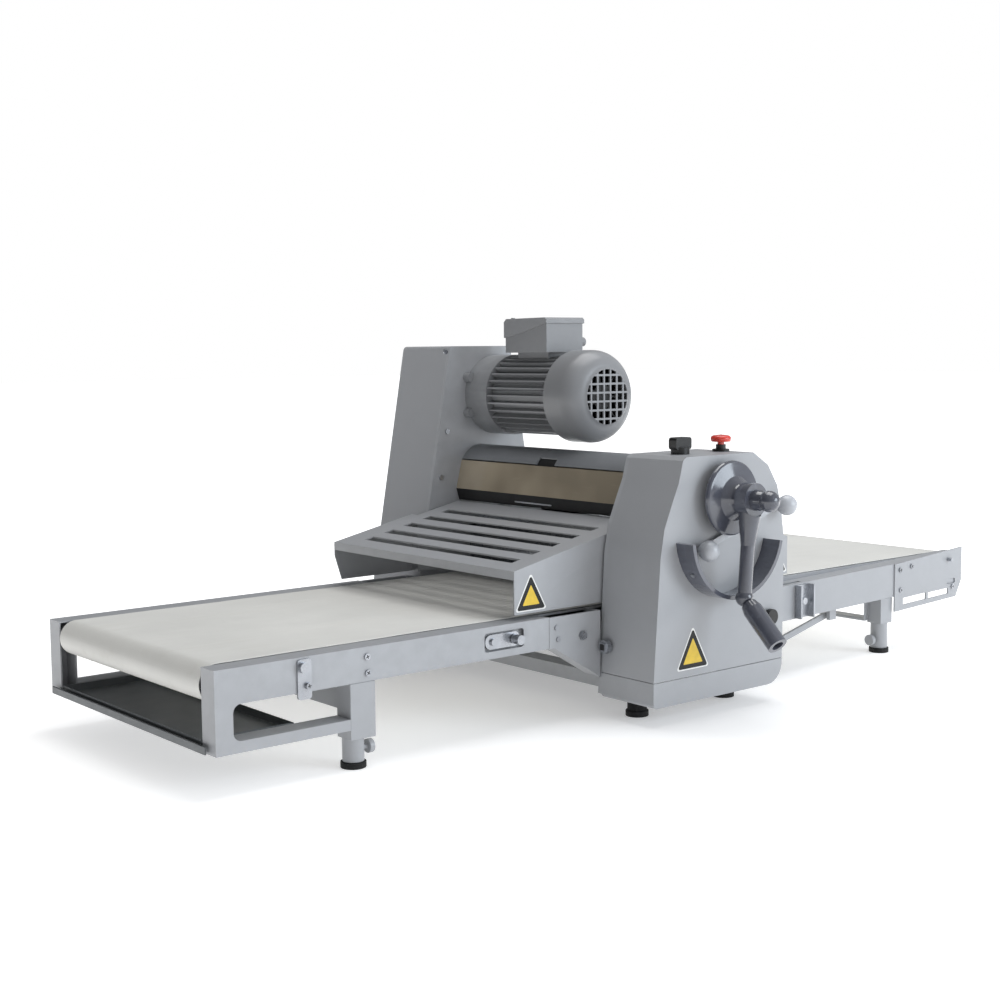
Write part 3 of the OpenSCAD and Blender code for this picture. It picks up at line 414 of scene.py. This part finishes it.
def belt(name, c0, r0, c1, r1, body, node):
    """A closed belt with rounded edges, a barely wavy upper run and a lower run that hangs a little."""
    width, thick, clear = 0.475, 0.0015, 0.0003
    route = loop_path(c0, r0 + clear + thick / 2, c1, r1 + clear + thick / 2, 0.012)
    rim = [0.95, 0.985, 0.996, 0.9985, 1.0]
    across = [-t for t in reversed(rim)] + [i / 10 for i in range(-9, 10)] + rim
    x0, x1 = sorted((c0[0], c1[0]))
    verts, faces = [], []
    n = len(route)
    ring = []
    for side in (1, -1):
        ring += [(t, side) for t in (across if side > 0 else reversed(across))]
    for p, nrm in route:
        u = min(1, max(0, (p.x - x0) / (x1 - x0)))
        below = nrm.y < -0.9
        sag = -0.0035 * math.sin(math.pi * u) if below else 0
        wave = 0.00025 * math.sin(p.x * 23.0 + 0.7) * math.sin(math.pi * u) if nrm.y > 0.9 else 0
        for t, side in ring:
            edge = min(1, (1 - abs(t)) / 0.004)
            half = thick / 2 * math.sqrt(max(0.0, 1 - (1 - edge) ** 2)) if edge < 1 else thick / 2
            off = side * half
            lift = nrm.y * off + sag + wave * (1 - t * t * 0.3)
            verts.append((p.x + nrm.x * off, BELT_Y + t * width / 2, p.y + lift))
    m = len(ring)
    for i in range(n):
        for k in range(m):
            a, b = i * m + k, i * m + (k + 1) % m
            c, d = ((i + 1) % n) * m + (k + 1) % m, ((i + 1) % n) * m + k
            faces.append((a, b, c, d))
    o = piece(name, verts, faces, BELT, body)
    weld = o.modifiers.new("weld", "WELD")
    weld.merge_threshold = 0.00001
    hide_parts(node)
    return o


belt("left_belt_cloth", (-0.881, 0.159), 0.027, (-0.066, 0.164), 0.022, "base", "left_belt")
belt("right_belt_cloth", (0.271, 0.159), 0.027, (0.881, 0.159), 0.027, "right_table", "right_belt")


# ---------------------------------------------------------------- stickers

def flat_paint(name, colour, rough=0.35):
    s = Shader(name, rough, coat=0.15)
    c = s.ramp(s.noise(60, 4), (0.35, linear([x * 0.93 for x in colour])), (0.65, linear(colour)))
    r = s.span(s.noise(200, 3), rough - 0.05, rough + 0.12)
    return s.done(c, r, s.bump(s.noise(420, 2), 0.03, 0.0003))


WHITE_VINYL = flat_paint("white_vinyl", (0.93, 0.93, 0.92))
BLACK_VINYL = flat_paint("black_vinyl", (0.012, 0.012, 0.014), 0.6)
YELLOW_VINYL = flat_paint("yellow_vinyl", (0.90, 0.76, 0.20))


def rounded_triangle(w, h, inset, r, n=5):
    """Outline of an upright triangle, inset from base w and height h, corners rounded by r."""
    slope = math.atan2(h, w / 2)
    half = w / 2 - inset / math.tan(slope / 2)
    apex = h - inset / math.sin(math.pi / 2 - slope)
    pts = [Vector((-half, inset)), Vector((half, inset)), Vector((0, apex))]
    out = []
    for i, p in enumerate(pts):
        a, b = (pts[i - 1] - p).normalized(), (pts[(i + 1) % 3] - p).normalized()
        ang = a.angle(b) / 2
        c = p + (a + b).normalized() * r / math.sin(ang)
        s, e = p + a * r / math.tan(ang) - c, p + b * r / math.tan(ang) - c
        a0, a1 = math.atan2(s.y, s.x), math.atan2(e.y, e.x)
        da = (a1 - a0 + math.pi) % (2 * math.pi) - math.pi
        out += [c + r * Vector((math.cos(a0 + da * j / n), math.sin(a0 + da * j / n))) for j in range(n + 1)]
    return out


def sticker(name, x, z, w, h, y, body):
    """Plain caution triangle: white rim, black border, yellow field, each a thin raised layer facing -Y."""
    verts, faces, which = [], [], []
    rise = 0.00012
    for layer, (inset, mat) in enumerate(((0.0, 0), (0.0022, 1), (0.0098, 2))):
        ring = rounded_triangle(w, h, inset, max(0.001, 0.0035 - inset * 0.25))
        n = len(ring)
        i0 = len(verts)
        back, front = y - 0.00002, y - rise * (layer + 1)
        for yy in (back, front):
            for p in ring:
                verts.append((x + p.x, yy, z + p.y))
        for i in range(n):
            j = (i + 1) % n
            faces.append((i0 + i, i0 + j, i0 + n + j, i0 + n + i))
            which.append(mat)
        faces.append(tuple(i0 + n + i for i in range(n)))
        which.append(mat)
        faces.append(tuple(i0 + i for i in reversed(range(n))))
        which.append(mat)
    vinyls = [WHITE_VINYL, BLACK_VINYL, YELLOW_VINYL]
    return piece(name, verts, faces, vinyls, body, smooth=False, which=which)


sticker("caution_housing", -0.069, 0.090, 0.080, 0.074, HOUSING_FACE, "base")
sticker("caution_left_guard", -0.309, 0.200, 0.070, 0.064, GUARD_FACE, "left_guard")
sticker("caution_right_guard", 0.309, 0.200, 0.070, 0.064, GUARD_FACE, "right_guard")


# ---------------------------------------------------------------- painted shade in screw recess slots, seats and inserts, hood window shade and seal highlight

def plates(name, outlines, level, rise, mat, body, across="y"):
    """Thin raised plates: outlines in XZ on a plane facing -Y, or in YZ on a plane facing -X."""
    verts, faces = [], []
    for ring in outlines:
        i0, n = len(verts), len(ring)
        ca, cb = sum(p[0] for p in ring) / n, sum(p[1] for p in ring) / n
        for depth, k in ((0, 1.0), (rise * 0.7, 1.0), (rise, 0.93)):
            for a, b in ring:
                a, b = ca + (a - ca) * k, cb + (b - cb) * k
                verts.append((a, level - depth, b) if across == "y" else (level - depth, a, b))
        for layer in (0, 1):
            for i in range(n):
                j = (i + 1) % n
                a, b = i0 + layer * n + i, i0 + layer * n + j
                faces.append((a, b, b + n, a + n))
        faces.append(tuple(i0 + 2 * n + i for i in range(n)))
        faces.append(tuple(i0 + i for i in reversed(range(n))))
    return piece(name, verts, faces, mat, body, smooth=False)


def cross(x, z, r, turn, w=0.22):
    """Outline of a cross recess with arms of half length r."""
    out = []
    for i in range(4):
        a = turn + i * math.pi / 2
        for u, v in ((w, -w), (1, -w), (1, w)):
            ca, sa = math.cos(a), math.sin(a)
            out.append((x + r * (u * ca - v * sa), z + r * (u * sa + v * ca)))
    return out


def tile(x, z, w, h, r, n=5):
    """Rounded rectangle."""
    out = []
    u, v = w / 2 - r, h / 2 - r
    for cx, cz, a0 in ((u, v, 0), (-u, v, 90), (-u, -v, 180), (u, -v, 270)):
        for i in range(n + 1):
            a = math.radians(a0 + 90 * i / n)
            out.append((x + cx + r * math.cos(a), z + cz + r * math.sin(a)))
    return out


# black for the lock insert; on the screw heads and behind the hood window the same black is painted shade of
# the cross slots and the hood's unlit inside
BLACK_AND_PAINTED_SHADE = flat_paint("painted_shade_black", (0.05, 0.05, 0.055), 0.5)
SCREW_RISE = 0.0002


def recess_shades(name, screws, head, body):
    """Cross slots (x, z, turn) on screw heads that stand head proud of the near rails, drawn as thin black
    plates of painted shade.
    """
    rings = [cross(x, z, 0.0032, turn) for x, z, turn in screws]
    plates(name, rings, NEAR - head, SCREW_RISE, BLACK_AND_PAINTED_SHADE, body)


recess_shades("left_screw_recess_shade", [(-0.649, 0.172, 0.4), (-0.648, 0.147, 0.9)], 0.003, "base")
recess_shades("latch_recess_shade", [(-0.756, 0.144, 0.2)], 0.008, "base")
recess_shades("right_screw_recess_shade", [
    (0.686, 0.170, 0.3), (0.688, 0.128, 1.0), (0.725, 0.174, 0.6), (0.873, 0.116, 0.1)
], 0.006, "right_table")
LOCK_FACE = -0.1760
insert = tile(BELT_Y - 0.296, 0.125, 0.0105, 0.0105, 0.002)
plates("lock_insert", [insert], LOCK_FACE, 0.0004, BLACK_AND_PAINTED_SHADE, "cover_lock", "x")


def hood_window_painted_shade():
    """Dark curved sheet behind the window in the hood's lower edge: painted shade of the hood's unlit inside.
    """
    verts, faces = [], []
    n = 10
    for r in (0.0528, 0.0518):
        for i in range(n + 1):
            a = math.radians(123 + 33 * i / n)
            for y in (-0.035, -0.033, 0.027, 0.029):
                verts.append((0.004 + r * math.cos(a), BELT_Y + y, 0.385 + r * math.sin(a)))
    m = (n + 1) * 4
    for i in range(n):
        for k in range(3):
            a = i * 4 + k
            faces += [(a, a + 1, a + 5, a + 4), (m + a, m + a + 4, m + a + 5, m + a + 1)]
        a, b = i * 4, i * 4 + 3
        faces += [(a, a + 4, m + a + 4, m + a), (b, m + b, m + b + 4, b + 4)]
    for k in range(3):
        a = n * 4 + k
        faces += [(k, m + k, m + k + 1, k + 1), (a, a + 1, m + a + 1, m + a)]
    piece("hood_window_painted_shade", verts, faces, BLACK_AND_PAINTED_SHADE, "base")


hood_window_painted_shade()


def seal_painted_highlight(x, z, y0, y1, r, n=10):
    """Narrow light strip with rounded ends, set into the black seal: a painted highlight along the seal."""
    tip = [(0, 0.25), (r * 0.3, 0.75), (r, 1.0)]  # distance from an end, share of full size
    stations = [(y0 + d, k) for d, k in tip] + [(y1 - d, k) for d, k in reversed(tip)]
    angles = [2 * math.pi * i / n for i in range(n)]
    verts = [(x + r * k * 0.6 * math.cos(a), BELT_Y + y, z + r * k * 1.2 * math.sin(a))
             for y, k in stations for a in angles]
    faces = [(a * n + i, (a + 1) * n + i, (a + 1) * n + (i + 1) % n, a * n + (i + 1) % n)
             for a in range(len(stations) - 1) for i in range(n)]
    faces += [tuple(range(n)), tuple(reversed(range((len(stations) - 1) * n, len(stations) * n)))]
    piece("seal_painted_highlight", verts, faces, KNOB, "base")


seal_painted_highlight(-0.0553, 0.3397, -0.033, 0.074, 0.0014)


# ---------------------------------------------------------------- floor

def floor():
    mesh = bpy.data.meshes.new("floor")
    mesh.from_pydata([(-30, -30, 0), (30, -30, 0), (30, 30, 0), (-30, 30, 0)], [], [(0, 1, 2, 3)])
    s = Shader("pale_floor", 0.9, specular=0.0)
    s.bsdf.inputs["Emission Color"].default_value = (1, 1, 1, 1)
    # the floor glows more the further it is from the object, so that it fades into the white studio
    away = s.add("ShaderNodeVectorMath", operation="LENGTH")
    s.link(s.place, away.inputs[0])
    s.link(s.span(away.outputs["Value"], 0.30, 1.0, 0.35, 1.9), s.bsdf.inputs["Emission Strength"])
    c = s.ramp(s.noise(3, 2), (0.3, (0.80, 0.80, 0.80, 1)), (0.7, (0.82, 0.82, 0.82, 1)))
    mesh.materials.append(s.done(c))
    o = bpy.data.objects.new("floor", mesh)
    bpy.context.scene.collection.objects.link(o)


floor()
